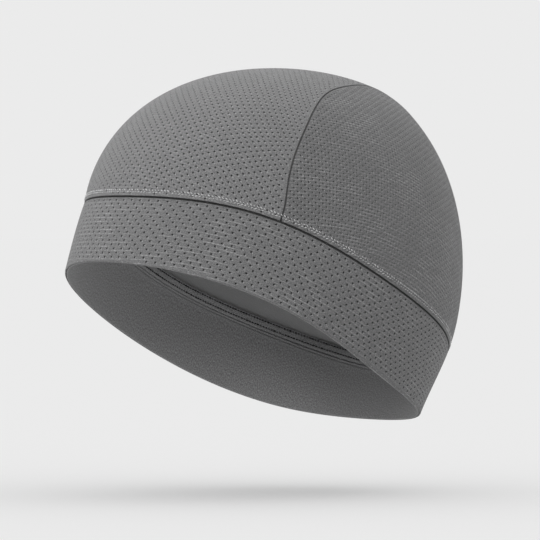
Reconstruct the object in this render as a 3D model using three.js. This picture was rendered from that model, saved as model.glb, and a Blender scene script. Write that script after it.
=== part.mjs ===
// Helmet liner cap: a thin stretch knit skull cap as worn, in millimetres.
// The crown has one wide centre panel from brow to nape and a panel on each side.
// A doubled band runs round the rim: perforated knit outside, smooth knit lining inside.
// +Z is up, the brow faces -Y and the wearer's left ear is at +X.
// The origin is the top of the hollow, where the crown of the head meets the cap.
import * as THREE from 'three';

// Plan of the cap at the seam between crown and band, outer face.
const crownHalfLength = 101;
const crownHalfBreadth = 86;
// Plan of the cap at the rim, outer face.
const rimHalfLength = 99.5;
const rimHalfBreadth = 75.5;
// Heights above the plane of the rim.
const bandHeight = 35.4;
const capHeight = 146;
// The cap leans back on the head by this angle, in degrees.
const wearTilt = 25;

// Cloth.
const crownWall = 1.2;
const bandWall = 1.2;
const liningWall = 1.0;
const allowanceWall = 1.0;
const plyGap = 0.3;
const panelGap = 0.6;
const bandGap = 0.4;
const allowanceWidth = 6;
const allowanceStart = 0.2;
const liningBelowSeam = 0.2;
const liningAboveHem = 0.4;

// The sewn ridge along the two panel seams, which dies out at the band.
const ridgeHeight = 1.8;
const ridgeReach = 14;
const ridgeRunIn = 0.1;

// The band bows out by this much halfway up.
const bandBow = 1.8;
// The hem stands off behind the ears.
const hemFlare = 1.2;
const hemFlareAngle = 135;
const hemFlareWidth = 28;

// Fore and aft places, toward the nape.
const seamSetBack = -1.1;
const rimSetBack = -3;
const topSetBack = 20.3;

// Shape of the crown: power of its upright section, and how full it stands.
const crownPower = 1.89;
const crownFullness = 0.046;
const browFullness = 0.049;
// Plan shares: wider behind the ears, oval at the seam, narrowed at the temples.
const planEgg = 0.015;
const seamOval = 0.017;
const rimWaist = -0.037;

// How the rim and the band seam rise and fall round the head.
// Each share is of bandHeight, and turns is the number of waves in one round.
const rimWaves = [
  { turns: 2, share: 0.030 },
  { turns: 3, share: -0.060 },
];
const hemFlareRise = 0.033;
const seamWaves = [
  { turns: 1, share: 0.035 },
  { turns: 2, share: -0.054 },
  { turns: 3, share: -0.027 },
  { turns: 4, share: -0.040 },
];

// Where the panel seams start on the band seam, in degrees round from the brow.
const panelSeamBrow = 53.3;
const panelSeamNape = 156;
// Course of a panel seam on the crown laid out as a disc of radius 1, with the
// top in its middle and the band seam at its edge: shares to the side and back.
const panelSeamCourse = [
  { side: 0.760, back: -0.573 },
  { side: 0.713, back: -0.557 },
  { side: 0.664, back: -0.537 },
  { side: 0.613, back: -0.512 },
  { side: 0.564, back: -0.474 },
  { side: 0.508, back: -0.432 },
  { side: 0.452, back: -0.391 },
  { side: 0.397, back: -0.345 },
  { side: 0.362, back: -0.306 },
  { side: 0.336, back: -0.266 },
  { side: 0.305, back: -0.213 },
  { side: 0.263, back: -0.150 },
  { side: 0.226, back: -0.080 },
  { side: 0.205, back: 0.010 },
  { side: 0.197, back: 0.150 },
  { side: 0.200, back: 0.300 },
  { side: 0.215, back: 0.500 },
  { side: 0.245, back: 0.650 },
  { side: 0.290, back: 0.780 },
  { side: 0.347, back: 0.868 },
];

// Fineness of the faces.
const panelRows = 38;
const centreColumns = 18;
const sideColumns = 10;
const ringSteps = 96;

const toRadians = Math.PI / 180;
const lerp = (a, b, share) => a + (b - a) * share;

function waves(table, theta) {
  return table.reduce((sum, row) => sum + row.share * bandHeight * Math.cos(row.turns * theta), 0);
}

// Point of the hem, theta round from the brow toward the wearer's left.
function rimPoint(theta) {
  const round = Math.abs(Math.atan2(Math.sin(theta), Math.cos(theta)));
  const off = (round - hemFlareAngle * toRadians) / (hemFlareWidth * toRadians);
  const bump = Math.exp(-off * off);
  const breadth = rimHalfBreadth * (1 - planEgg * Math.cos(theta)) * (1 + rimWaist * Math.cos(3 * theta));
  return new THREE.Vector3(
    (breadth + hemFlare * bump) * Math.sin(theta),
    -(rimHalfLength + hemFlare * bump) * Math.cos(theta) + rimSetBack,
    waves(rimWaves, theta) + hemFlareRise * bandHeight * bump,
  );
}

// Point of the crown's outer face on the disc, before the ridge is raised.
function crownBase(side, back) {
  const reachOut = Math.min(Math.hypot(side, back), 1);
  const theta = Math.atan2(side, -back);
  const lift = (1 - reachOut) * Math.PI / 2;
  const reach = Math.cos(lift) ** (2 / crownPower);
  const rise = Math.sin(lift) ** (2 / crownPower);
  const oval = 1 + seamOval * Math.cos(2 * theta) * reach;
  const full = 1 + (crownFullness + browFullness * Math.cos(theta)) * Math.sin(2 * lift);
  const seamHeight = bandHeight + waves(seamWaves, theta);
  const egg = 1 - planEgg * Math.cos(theta);
  return new THREE.Vector3(
    crownHalfBreadth * Math.sin(theta) * egg * oval * reach * full,
    -crownHalfLength * Math.cos(theta) * oval * reach * full + seamSetBack * reach + topSetBack * (1 - reach),
    lerp(seamHeight, capHeight, rise),
  );
}

function discPoint(degrees) {
  return new THREE.Vector2(Math.sin(degrees * toRadians), -Math.cos(degrees * toRadians));
}

// The panel seam on the wearer's left, evenly spaced on the disc.
const seamCurve = new THREE.CatmullRomCurve3(
  [
    discPoint(panelSeamBrow),
    ...panelSeamCourse.map((row) => new THREE.Vector2(row.side, row.back)),
    discPoint(panelSeamNape),
  ].map((p) => new THREE.Vector3(p.x, p.y, 0)),
  false,
  'centripetal',
);
seamCurve.arcLengthDivisions = 800;
const seamTrack = seamCurve.getSpacedPoints(160).map((p) => crownBase(p.x, p.y));
const seamLine = new THREE.Line3();
const seamNear = new THREE.Vector3();

function distanceToSeam(point) {
  const mirrored = new THREE.Vector3(Math.abs(point.x), point.y, point.z);
  let least = Infinity;
  for (let i = 1; i < seamTrack.length; i += 1) {
    seamLine.set(seamTrack[i - 1], seamTrack[i]);
    seamLine.closestPointToPoint(mirrored, true, seamNear);
    least = Math.min(least, seamNear.distanceTo(mirrored));
  }
  return least;
}

// Outward normal of a surface given by a function of two shares.
function normalOf(surface, a, b) {
  const step = 0.002;
  const alongA = surface(a + step, b).sub(surface(a - step, b));
  const alongB = surface(a, b + step).sub(surface(a, b - step));
  return alongA.cross(alongB).normalize();
}

// Crown with its sewn ridge. The nudge keeps the normal's stencil inside the panel.
function crownPoint(side, back) {
  const base = crownBase(side, back);
  const inner = new THREE.Vector2(side, back).multiplyScalar(0.99);
  const normal = normalOf(crownBase, inner.x, inner.y);
  const share = Math.min((1 - Math.min(Math.hypot(side, back), 1)) / ridgeRunIn, 1);
  const fade = share * share * (3 - 2 * share);
  const ridge = ridgeHeight * fade * Math.exp(-distanceToSeam(base) / ridgeReach);
  return base.addScaledVector(normal, ridge);
}

function bandPoint(theta, up) {
  const rim = rimPoint(theta);
  const seam = crownBase(Math.sin(theta), -Math.cos(theta));
  const bow = bandBow * 4 * up * (1 - up);
  return rim.lerp(seam, up).add(new THREE.Vector3(bow * Math.sin(theta), -bow * Math.cos(theta), 0));
}

// Closed solid from triangles given by their corners, welded and turned outward.
function solidFrom(triangles) {
  const places = new Map();
  const coordinates = [];
  const index = [];
  const placeOf = (p) => {
    const key = `${p.x.toFixed(5)} ${p.y.toFixed(5)} ${p.z.toFixed(5)}`;
    if (!places.has(key)) {
      places.set(key, coordinates.length / 3);
      coordinates.push(p.x, p.y, p.z);
    }
    return places.get(key);
  };
  let volume = 0;
  for (const [p, q, r] of triangles) {
    const corners = [placeOf(p), placeOf(q), placeOf(r)];
    if (new Set(corners).size === 3) {
      index.push(...corners);
      volume += p.dot(new THREE.Vector3().crossVectors(q, r));
    }
  }
  if (volume < 0) {
    index.reverse();
  }
  const geometry = new THREE.BufferGeometry();
  geometry.setAttribute('position', new THREE.Float32BufferAttribute(coordinates, 3));
  geometry.setIndex(index);
  return geometry;
}

function quad(triangles, a, b, c, d) {
  triangles.push([a, b, c], [a, c, d]);
}

// Moves an edge point into its panel, square to the edge.
function pullIn(point, along, normal, inside, amount) {
  const inward = new THREE.Vector3().crossVectors(normal, along).normalize();
  if (inward.dot(inside) < 0) {
    inward.negate();
  }
  point.addScaledVector(inward, amount);
}

// A panel of cloth on a grid of disc places, as a solid of the given wall, each
// edge pulled in by its gap. A pointed panel has one place in its end rows.
function panelSolid(disc, wall, gaps, middle, pointed) {
  const rows = disc.length;
  const columns = disc[0].length;
  const outer = disc.map((row) => row.map((p) => crownPoint(p.x, p.y)));
  const normals = disc.map((row) => row.map((p) => {
    const inner = p.clone().lerp(middle, 0.02);
    return normalOf(crownPoint, inner.x, inner.y);
  }));
  const pulled = outer.map((row) => row.map((p) => p.clone()));
  const at = (i, j) => outer[Math.min(Math.max(i, 0), rows - 1)][Math.min(Math.max(j, 0), columns - 1)];
  const lastRow = rows - 1;
  const lastColumn = columns - 1;
  const towardMiddle = (i, j) => {
    const column = pointed ? Math.round(lastColumn / 2) : j;
    return at(Math.min(Math.max(i, 1), lastRow - 1), Math.min(Math.max(column, 1), lastColumn - 1));
  };
  for (let i = 0; i < rows; i += 1) {
    for (let j = 0; j < columns; j += 1) {
      const atEnd = i === 0 || i === lastRow;
      const inside = towardMiddle(i, j).clone().sub(at(i, j));
      const alongRow = at(i, j + 1).clone().sub(at(i, j - 1));
      const alongFirst = at(i + 1, 0).clone().sub(at(i - 1, 0));
      const alongLast = at(i + 1, lastColumn).clone().sub(at(i - 1, lastColumn));
      const edges = [
        [!pointed && i === 0, alongRow, gaps.firstRow],
        [!pointed && i === lastRow, alongRow, gaps.lastRow],
        [j === 0 || (pointed && atEnd), alongFirst, gaps.firstColumn],
        [j === lastColumn || (pointed && atEnd), alongLast, gaps.lastColumn],
      ];
      for (const [onEdge, along, gap] of edges) {
        if (onEdge) {
          pullIn(pulled[i][j], along, normals[i][j], inside, gap);
        }
      }
    }
  }
  const inner = pulled.map((row, i) => row.map((p, j) => p.clone().addScaledVector(normals[i][j], -wall)));
  const triangles = [];
  for (let i = 0; i + 1 < rows; i += 1) {
    for (let j = 0; j + 1 < columns; j += 1) {
      quad(triangles, pulled[i][j], pulled[i + 1][j], pulled[i + 1][j + 1], pulled[i][j + 1]);
      quad(triangles, inner[i][j], inner[i][j + 1], inner[i + 1][j + 1], inner[i + 1][j]);
    }
  }
  for (let i = 0; i + 1 < rows; i += 1) {
    quad(triangles, pulled[i][0], inner[i][0], inner[i + 1][0], pulled[i + 1][0]);
    quad(
      triangles,
      pulled[i][lastColumn],
      pulled[i + 1][lastColumn],
      inner[i + 1][lastColumn],
      inner[i][lastColumn],
    );
  }
  for (let j = 0; j + 1 < columns; j += 1) {
    quad(triangles, pulled[0][j], pulled[0][j + 1], inner[0][j + 1], inner[0][j]);
    quad(triangles, pulled[lastRow][j], inner[lastRow][j], inner[lastRow][j + 1], pulled[lastRow][j + 1]);
  }
  return solidFrom(triangles);
}

// Disc places of the panels. The centre panel spans between the two seams, with
// the band seam's arcs as its ends.
const seamPlaces = (rows) => seamCurve.getSpacedPoints(rows).map((p) => new THREE.Vector2(p.x, p.y));

function centreDisc() {
  const seam = seamPlaces(panelRows);
  const first = seam[0];
  const last = seam[panelRows];
  return seam.map((place, i) => {
    const along = i / panelRows;
    return Array.from({ length: centreColumns + 1 }, (_, j) => {
      const across = 2 * j / centreColumns - 1;
      const brow = discPoint(across * panelSeamBrow);
      const nape = discPoint(180 - across * (180 - panelSeamNape));
      const side = lerp(brow.x, nape.x, along) + across * (place.x - lerp(first.x, last.x, along));
      const back = lerp(brow.y, nape.y, along) + place.y - lerp(first.y, last.y, along);
      return new THREE.Vector2(side, back);
    });
  });
}

// A side panel reaches from the band seam's arc to the panel seam, hand +1 left.
function sideDisc(hand) {
  return seamPlaces(panelRows).map((place, i) => {
    const arc = discPoint(lerp(panelSeamBrow, panelSeamNape, i / panelRows));
    return Array.from({ length: sideColumns + 1 }, (_, j) => {
      const toSeam = arc.clone().lerp(place, j / sideColumns);
      return new THREE.Vector2(hand * toSeam.x, toSeam.y);
    });
  });
}

// Closed ring from a section that is drawn for every step round the head.
function ringSolid(section) {
  const loops = Array.from({ length: ringSteps }, (_, i) => section(i / ringSteps * 2 * Math.PI));
  const triangles = [];
  loops.forEach((loop, i) => {
    const next = loops[(i + 1) % ringSteps];
    loop.forEach((point, j) => {
      const k = (j + 1) % loop.length;
      quad(triangles, point, next[j], next[k], loop[k]);
    });
  });
  return solidFrom(triangles);
}

// A ply of the band: its outer face this far inside the band's, with a rounded hem.
function bandPly(depth, wall, aboveHem, belowSeam, rows) {
  return (theta) => {
    const slope = bandPoint(theta, 0).distanceTo(bandPoint(theta, 1));
    const low = aboveHem / slope;
    const high = 1 - belowSeam / slope;
    const pointAt = (up, inward) => {
      const normal = normalOf(bandPoint, theta, up);
      return bandPoint(theta, up).addScaledVector(normal, -inward);
    };
    const rounded = low + wall / 2 / slope;
    const ups = Array.from({ length: rows + 1 }, (_, i) => lerp(rounded, high, i / rows));
    return [
      ...ups.map((up) => pointAt(up, depth)),
      ...ups.toReversed().map((up) => pointAt(up, depth + wall)),
      pointAt(low, depth + wall / 2),
    ];
  };
}

// The strip of flattened seam allowance inside the crown, just above the band.
function allowanceSection(theta) {
  const place = (share) => crownPoint(Math.sin(theta) * share, -Math.cos(theta) * share);
  const perShare = place(1).distanceTo(place(0.95)) / 0.05;
  const depth = crownWall + plyGap;
  const pointAt = (up, inward) => {
    const share = 1 - up / perShare;
    const side = Math.sin(theta) * share;
    const back = -Math.cos(theta) * share;
    const stencil = Math.min(share, 0.99);
    const normal = normalOf(crownPoint, Math.sin(theta) * stencil, -Math.cos(theta) * stencil);
    return crownPoint(side, back).addScaledVector(normal, -inward);
  };
  const ups = [0, 0.5, 1].map((share) => allowanceStart + share * allowanceWidth);
  return [
    ...ups.map((up) => pointAt(up, depth)),
    ...ups.toReversed().map((up) => pointAt(up, depth + allowanceWall)),
  ];
}

// The top of the hollow once the cap leans back: highest place of the inner face.
function hollowTop() {
  const lean = new THREE.Matrix4().makeRotationX(-wearTilt * toRadians);
  const heights = Array.from({ length: 1201 }, (_, i) => {
    const back = lerp(-0.6, 0.6, i / 1200);
    const normal = normalOf(crownPoint, 0, back);
    return crownPoint(0, back).addScaledVector(normal, -crownWall).applyMatrix4(lean);
  });
  return heights.reduce((best, point) => (point.z > best.z ? point : best));
}

const centreMiddle = new THREE.Vector2(0, 0);
const sideMiddle = (hand) => new THREE.Vector2(hand * 0.7, 0.15);
const centreGaps = {
  firstRow: bandGap,
  lastRow: bandGap,
  firstColumn: panelGap / 2,
  lastColumn: panelGap / 2,
};
const sideGaps = { firstRow: 0, lastRow: 0, firstColumn: bandGap, lastColumn: panelGap / 2 };

const shellKnit = 0x606062;
const liningKnit = 0x48484a;
const foldedKnit = 0x3c3c3e;

const pieces = [
  ['crown_centre_panel', panelSolid(centreDisc(), crownWall, centreGaps, centreMiddle, false), shellKnit],
  ['crown_left_panel', panelSolid(sideDisc(1), crownWall, sideGaps, sideMiddle(1), true), shellKnit],
  ['crown_right_panel', panelSolid(sideDisc(-1), crownWall, sideGaps, sideMiddle(-1), true), shellKnit],
  ['brow_band', ringSolid(bandPly(0, bandWall, 0, 0, 4)), shellKnit],
  [
    'band_lining',
    ringSolid(bandPly(bandWall + plyGap, liningWall, liningAboveHem, liningBelowSeam, 3)),
    liningKnit,
  ],
  ['band_seam_allowance', ringSolid(allowanceSection), foldedKnit],
];

const group = new THREE.Group();
group.name = 'helmet_liner_cap';
const top = hollowTop();
for (const [name, geometry, colour] of pieces) {
  geometry.rotateX(-wearTilt * toRadians);
  geometry.translate(-top.x, -top.y, -top.z);
  geometry.computeVertexNormals();
  const material = new THREE.MeshStandardMaterial({ color: colour, roughness: 0.9, metalness: 0 });
  material.name = name;
  const mesh = new THREE.Mesh(geometry, material);
  mesh.name = name;
  group.add(mesh);
}

export default group;
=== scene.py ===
"""Helmet liner cap: perforated stretch knit skull cap with a doubled band, in the form it has as worn."""

import math

import bmesh
import bpy
import numpy as np
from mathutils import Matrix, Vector
from mathutils.bvhtree import BVHTree
from mathutils.geometry import delaunay_2d_cdt


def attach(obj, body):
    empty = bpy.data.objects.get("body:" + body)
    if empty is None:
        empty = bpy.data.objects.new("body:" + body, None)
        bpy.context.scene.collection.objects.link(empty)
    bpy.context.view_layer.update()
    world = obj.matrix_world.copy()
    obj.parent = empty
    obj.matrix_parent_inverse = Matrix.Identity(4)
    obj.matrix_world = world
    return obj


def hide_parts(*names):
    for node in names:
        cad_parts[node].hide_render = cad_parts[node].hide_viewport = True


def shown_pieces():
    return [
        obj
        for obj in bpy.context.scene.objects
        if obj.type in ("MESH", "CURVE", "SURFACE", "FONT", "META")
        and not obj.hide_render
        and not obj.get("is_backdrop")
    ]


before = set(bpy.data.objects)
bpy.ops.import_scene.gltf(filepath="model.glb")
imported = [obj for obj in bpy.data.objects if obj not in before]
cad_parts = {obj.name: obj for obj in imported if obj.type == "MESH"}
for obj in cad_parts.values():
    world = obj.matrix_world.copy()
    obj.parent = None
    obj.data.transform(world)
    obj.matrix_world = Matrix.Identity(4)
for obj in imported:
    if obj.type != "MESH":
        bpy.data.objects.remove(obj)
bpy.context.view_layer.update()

bl_info = {
    "name": "Helmet Liner Cap",
    "version": (1, 0, 0),
    "blender": (4, 5, 0),
    "location": "3D View > Sidebar > Liner Cap",
    "description": "Dresses the packed frame of a knit helmet liner cap",
    "category": "Add Mesh",
}

MM = 0.001

# Form of the cap in millimetres, as in the part's source.
CROWN_HALF_LENGTH = 101.0
CROWN_HALF_BREADTH = 86.0
RIM_HALF_LENGTH = 99.5
RIM_HALF_BREADTH = 75.5
BAND_HEIGHT = 35.4
CAP_HEIGHT = 146.0
WEAR_TILT = math.radians(25.0)
CROWN_WALL = 1.2
RIDGE_HEIGHT = 1.8
RIDGE_REACH = 14.0
RIDGE_RUN_IN = 0.1
BAND_BOW = 1.0
HEM_FLARE = 1.2
HEM_FLARE_ANGLE = math.radians(135.0)
HEM_FLARE_WIDTH = math.radians(28.0)
HEM_FLARE_RISE = 0.033
SEAM_SET_BACK = -1.1
RIM_SET_BACK = -3.0
TOP_SET_BACK = 20.3
CROWN_POWER = 1.89
CROWN_FULLNESS = 0.046
BROW_FULLNESS = 0.049
PLAN_EGG = 0.015
SEAM_OVAL = 0.017
RIM_WAIST = -0.037
# Where the soft hem curls out: degrees from the brow, millimetres out, and half width in degrees.
HEM_CURLS = ((43.0, 1.6, 26.0), (137.0, 3.2, 24.0))
RIM_WAVES = ((2, 0.030), (3, -0.060))
SEAM_WAVES = ((1, 0.035), (2, -0.054), (3, -0.027), (4, -0.040))
PANEL_SEAM_BROW = 53.3
PANEL_SEAM_NAPE = 156.0
# Course of a panel seam on the crown laid out as a disc: shares to the side and back.
PANEL_SEAM_COURSE = (
    (0.760, -0.573), (0.713, -0.557), (0.664, -0.537), (0.6135, -0.5088), (0.564, -0.474),
    (0.508, -0.432), (0.452, -0.391), (0.397, -0.345), (0.362, -0.306), (0.336, -0.266),
    (0.305, -0.213), (0.263, -0.150), (0.226, -0.080), (0.205, 0.010), (0.197, 0.150),
    (0.200, 0.300), (0.215, 0.500), (0.245, 0.650), (0.290, 0.780), (0.347, 0.868),
)
CAP_MIDDLE = (0.0, 0.0, 70.0)
INSIDE_POINT = (0, 0, 40)
# How finely the form is followed: samples over the hollow, steps of a panel seam for the ridge and for the cutting
# shapes, rows and columns of the panels' grids, and points handled at a time.
HOLLOW_SAMPLES = 1201
RIDGE_STEPS = 160
SEAM_STEPS = 400
CENTRE_GRID = (111, 57)
SIDE_GRID = (91, 37)
CHUNK = 4000
# Shares of the way out on the disc up to which normals can be taken: of the finished face, and under the ridge.
NEAR_EDGE = 0.994
RIDGE_NEAR = 0.99

# How the cloth is cut and laid, in millimetres: the step of the corners along an edge, the columns and rows of the
# plain back's inner corners, and how far those and the eyelets' dimples keep from a rolled edge.
EDGE_STEP = 1.3
BAND_EDGE_STEP = 1.2
BACK_LATTICE = (5.0, 2.5)
BACK_CLEAR = 1.5
EYELET_CLEAR = 0.2
BAND_EYELET_CLEAR = 0.22
# The band's back: where its inner corners start, how far they keep from a rolled edge, and how far those down its
# joined ends keep from the band seam and the hem.
BAND_BACK_PHASE = (1.0, -0.9)
BAND_BACK_CLEAR = 1.2
BAND_END_CLEAR = (3.0, 2.6)
# A rolled ring may lie this much nearer the edge than its step, and the way to an edge is felt over these lengths.
RING_SLACK = 0.04
CROWN_PROBE = 2.0
BAND_PROBE = 0.25
HEM_ROLL = 0.7
HEM_ROLL_ANGLE = math.radians(80)
# Width of a dimple as a share of the setting, and where along a side panel its eyelets draw shut, and how far, which
# also sets how much of the painted shade in their floors stays.
BAND_LIP = 1.08
SIDE_LIP = 0.82
SIDE_CLOSING = (12.0, 75.0, 0.3)
NO_CLOSING = (0.0, 1.0, 1.0)
# How far from a sewn edge the cloth is painted dark as the shade in the seam's groove, and how dark: the crown's at
# the band, the panels', and the band's. It stays fully dark for a part of the way that grows with the steepness.
SHADE_STEEPNESS = 1.6
CROWN_EDGE_SHADE = (0.7, 1.0)
PANEL_SEAM_SHADE = (0.65, 0.68)
BAND_EDGE_SHADE = (0.95, 1.0)

# Section of the lining: share of the band's height, millimetres above that, and depth under the band's outer face.
LINING_SECTION = (
    (0.0, -0.12, 1.02), (0.0, 0.30, 0.86), (0.0, 1.4, 0.88), (0.0, 3.5, 1.05), (0.25, 0.0, 1.35),
    (0.5, 0.0, 1.45), (0.75, 0.0, 1.45), (1.0, -2.4, 1.45), (1.0, -1.0, 1.45), (1.0, -0.4, 1.60),
    (1.0, -0.22, 1.95), (1.0, -0.3, 2.35), (1.0, -0.62, 2.74), (1.0, -1.05, 2.80), (1.0, -1.42, 2.58),
    (1.0, -1.68, 2.26), (1.0, -2.0, 2.56), (1.0, -2.5, 2.66), (1.0, -3.1, 2.46), (1.0, -4.4, 2.32),
    (0.75, 0.0, 2.30), (0.5, 0.0, 2.30), (0.25, 0.0, 2.10), (0.0, 3.5, 1.75), (0.0, 1.4, 1.50),
    (0.0, 0.25, 1.36), (0.0, -0.1, 1.22),
)
# Section of the seam allowance: millimetres above the band seam, and depth under the crown's outer face.
ALLOWANCE_SECTION = (
    (0.15, 1.48), (1.5, 1.45), (3.0, 1.45), (4.6, 1.45), (5.7, 1.50), (6.1, 1.75), (6.15, 2.1), (5.9, 2.32),
    (5.4, 2.36), (5.0, 2.30), (4.6, 2.36), (4.3, 2.42), (3.6, 2.44), (2.9, 2.44), (2.4, 2.42), (1.9, 2.36),
    (1.5, 2.42), (1.15, 2.44), (0.9, 2.44), (0.6, 2.40), (0.3, 2.30), (0.08, 2.1), (0.03, 1.75),
)
# Where in that section the needle rows draw it in, and how far painted shade darkens it there.
ALLOWANCE_GROOVES = ((5.0, 2.30), (1.9, 2.36))
GROOVE_REACH = 0.6
# Width of an eyelet's floor as a share of its mouth.
EYELET_FLOOR = 0.88

# Lines of the threads: along the row, across it and up from the cloth, in millimetres. Their widths are shares of
# the thread's. The inner rows lie at millimetres above the band seam and deep under the crown's outer face.
TOPSTITCH_LINE = ((-0.42, -0.24, -0.18), (-0.26, -0.15, 0.03), (0, 0, 0.12), (0.26, 0.15, 0.03), (0.42, 0.24, -0.18))
NEEDLE_LINE = ((-0.40, 0, -0.30), (-0.25, 0, -0.02), (0.0, 0, 0.06), (0.25, 0, -0.02), (0.40, 0, -0.30))
LOOPER_LINE = ((-0.6, -1.1, -0.12), (-0.35, -0.6, 0.06), (0.0, 0.0, 0.10), (0.35, 0.6, 0.06), (0.6, 1.1, -0.12))
TOPSTITCH_WIDTHS = (0.6, 1, 1.1, 1, 0.6)
NEEDLE_WIDTHS = (1.3, 1.9, 2.1, 1.9, 1.3)
LOOPER_WIDTHS = (0.6,) * 5
INNER_THREAD = 1.15
NEEDLE_ROWS = ((1.9, 2.5), (5.0, 2.44))
LOOPER_ROW = (3.45, 2.44)
# Width and height of a loop of the knit, and how strong the painted glints along the courses are on the panels and
# the band.
KNIT_LOOP = (0.62, 0.5)
CENTRE_LINES = 0.35
SIDE_LINES = 0.95
BAND_LINES = 0.85
# The painted glint by an eyelet: how far aside and below, each with the oval's half size.
EYELET_GLINT = ((0.85, 0.42), (0.34, 0.28))

# Near-black painted as shade in the grooves of the seams and of the needle rows.
SEAM_SHADE = (0.004, 0.004, 0.004)
# Near-black painted as shade in the eyelets' floors.
EYELET_SHADE = (0.012, 0.012, 0.012)
# The cloth's back: its own grey, painted lighter than the front to stand in for light inside the crown.
BACK_DARK = (0.29, 0.29, 0.292)
BACK_LIGHT = (0.41, 0.41, 0.413)

# Brightness of the studio's air and of its paper, and the paper's radius in metres.
STUDIO_LEVEL = 0.831
PAPER_LEVEL = 0.62
FLOOR_RADIUS = 30


def waves(table, theta):
    return sum(share * BAND_HEIGHT * np.cos(turns * theta) for turns, share in table)


def from_brow(theta):
    """Angle from the brow, the same on both sides."""
    return np.abs(np.arctan2(np.sin(theta), np.cos(theta)))


def rim_point(theta):
    """Points of the hem, theta round from the brow toward the wearer's left."""
    bump = np.exp(-(((from_brow(theta) - HEM_FLARE_ANGLE) / HEM_FLARE_WIDTH) ** 2))
    breadth = RIM_HALF_BREADTH * (1 - PLAN_EGG * np.cos(theta)) * (1 + RIM_WAIST * np.cos(3 * theta))
    side = (breadth + HEM_FLARE * bump) * np.sin(theta)
    back = -(RIM_HALF_LENGTH + HEM_FLARE * bump) * np.cos(theta) + RIM_SET_BACK
    return np.stack([side, back, waves(RIM_WAVES, theta) + HEM_FLARE_RISE * BAND_HEIGHT * bump], -1)


def crown_base(side, back):
    """Points of the crown's outer face on the disc, before the ridge is raised."""
    theta = np.arctan2(side, -back)
    lift = (1 - np.minimum(np.hypot(side, back), 1)) * np.pi / 2
    reach = np.cos(lift) ** (2 / CROWN_POWER)
    rise = np.sin(lift) ** (2 / CROWN_POWER)
    oval = 1 + SEAM_OVAL * np.cos(2 * theta) * reach
    full = 1 + (CROWN_FULLNESS + BROW_FULLNESS * np.cos(theta)) * np.sin(2 * lift)
    egg = 1 - PLAN_EGG * np.cos(theta)
    length = -CROWN_HALF_LENGTH * np.cos(theta) * oval * reach * full
    seam_height = BAND_HEIGHT + waves(SEAM_WAVES, theta)
    return np.stack(
        [
            CROWN_HALF_BREADTH * np.sin(theta) * egg * oval * reach * full,
            length + SEAM_SET_BACK * reach + TOP_SET_BACK * (1 - reach),
            seam_height + (CAP_HEIGHT - seam_height) * rise,
        ],
        -1,
    )


def round_disc(theta, out=1.0):
    """Disc places at angles round from the brow and shares of the way out."""
    return np.sin(theta) * out, -np.cos(theta) * out


def disc_point(degrees):
    return np.stack(round_disc(np.radians(degrees)), -1)


def run_along(points):
    """Distance along polylines at each of their points."""
    steps = np.linalg.norm(np.diff(points, axis=-2), axis=-1)
    return np.concatenate([np.zeros_like(steps[..., :1]), np.cumsum(steps, axis=-1)], -1)


def path_length(points):
    """Length of a closed path."""
    return np.linalg.norm(np.roll(points, -1, axis=0) - points, axis=1).sum()


def unit(vectors):
    return vectors / np.linalg.norm(vectors, axis=-1, keepdims=True)


def smooth_course(points, fineness=60):
    """Centripetal spline through the points, as a fine polyline."""
    p = np.asarray(points, float)
    p = np.vstack([2 * p[0] - p[1], p, 2 * p[-1] - p[-2]])
    t = np.linspace(0, 1, fineness, endpoint=False)[:, None]
    line = []
    for p0, p1, p2, p3 in zip(p, p[1:], p[2:], p[3:]):
        d0, d1, d2 = (np.linalg.norm(b - a) ** 0.5 for a, b in ((p0, p1), (p1, p2), (p2, p3)))
        m1 = ((p1 - p0) / d0 - (p2 - p0) / (d0 + d1) + (p2 - p1) / d1) * d1
        m2 = ((p2 - p1) / d1 - (p3 - p1) / (d1 + d2) + (p3 - p2) / d2) * d1
        line.append(
            p1 + m1 * t + (-3 * p1 + 3 * p2 - 2 * m1 - m2) * t**2 + (2 * p1 - 2 * p2 + m1 + m2) * t**3
        )
    return np.vstack([*line, p[-2]])


def spaced(line, count, closed=False):
    """count + 1 points evenly along a polyline, or count where it is closed."""
    line = np.asarray(line, float)
    if closed:
        line = np.vstack([line, line[:1]])
    along = run_along(line)
    at = np.linspace(0, along[-1], count + 1)
    out = np.stack([np.interp(at, along, line[:, k]) for k in range(line.shape[1])], -1)
    return out[:-1] if closed else out


SEAM_COURSE = smooth_course([disc_point(PANEL_SEAM_BROW), *PANEL_SEAM_COURSE, disc_point(PANEL_SEAM_NAPE)])
SEAM_TRACK = crown_base(*spaced(SEAM_COURSE, RIDGE_STEPS).T)


def distance_to_line(points, line, closed=False):
    """Least distance from each point to a polyline."""
    starts = line if closed else line[:-1]
    steps = (np.roll(line, -1, axis=0) if closed else line[1:]) - starts
    length2 = np.maximum((steps**2).sum(1), 1e-12)
    out = np.empty(len(points))
    for first in range(0, len(points), CHUNK):
        part = points[first : first + CHUNK, None] - starts[None]
        share = np.clip((part * steps).sum(-1) / length2, 0, 1)
        out[first : first + CHUNK] = np.sqrt(((part - share[..., None] * steps) ** 2).sum(-1).min(1))
    return out


def normal_of(surface, a, b, step=0.002):
    along_a = surface(a + step, b) - surface(a - step, b)
    along_b = surface(a, b + step) - surface(a, b - step)
    return unit(np.cross(along_a, along_b))


def crown_point(side, back):
    """Points of the crown's outer face, with the sewn ridge along the panel seams."""
    shape = np.shape(side)
    side, back = np.ravel(side), np.ravel(back)
    base = crown_base(side, back)
    normal = normal_of(crown_base, side * RIDGE_NEAR, back * RIDGE_NEAR)
    share = np.minimum((1 - np.minimum(np.hypot(side, back), 1)) / RIDGE_RUN_IN, 1)
    fade = share * share * (3 - 2 * share)
    mirrored = np.column_stack([np.abs(base[:, 0]), base[:, 1:]])
    ridge = RIDGE_HEIGHT * fade * np.exp(-distance_to_line(mirrored, SEAM_TRACK) / RIDGE_REACH)
    return (base + normal * ridge[:, None]).reshape(*shape, 3)


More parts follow.
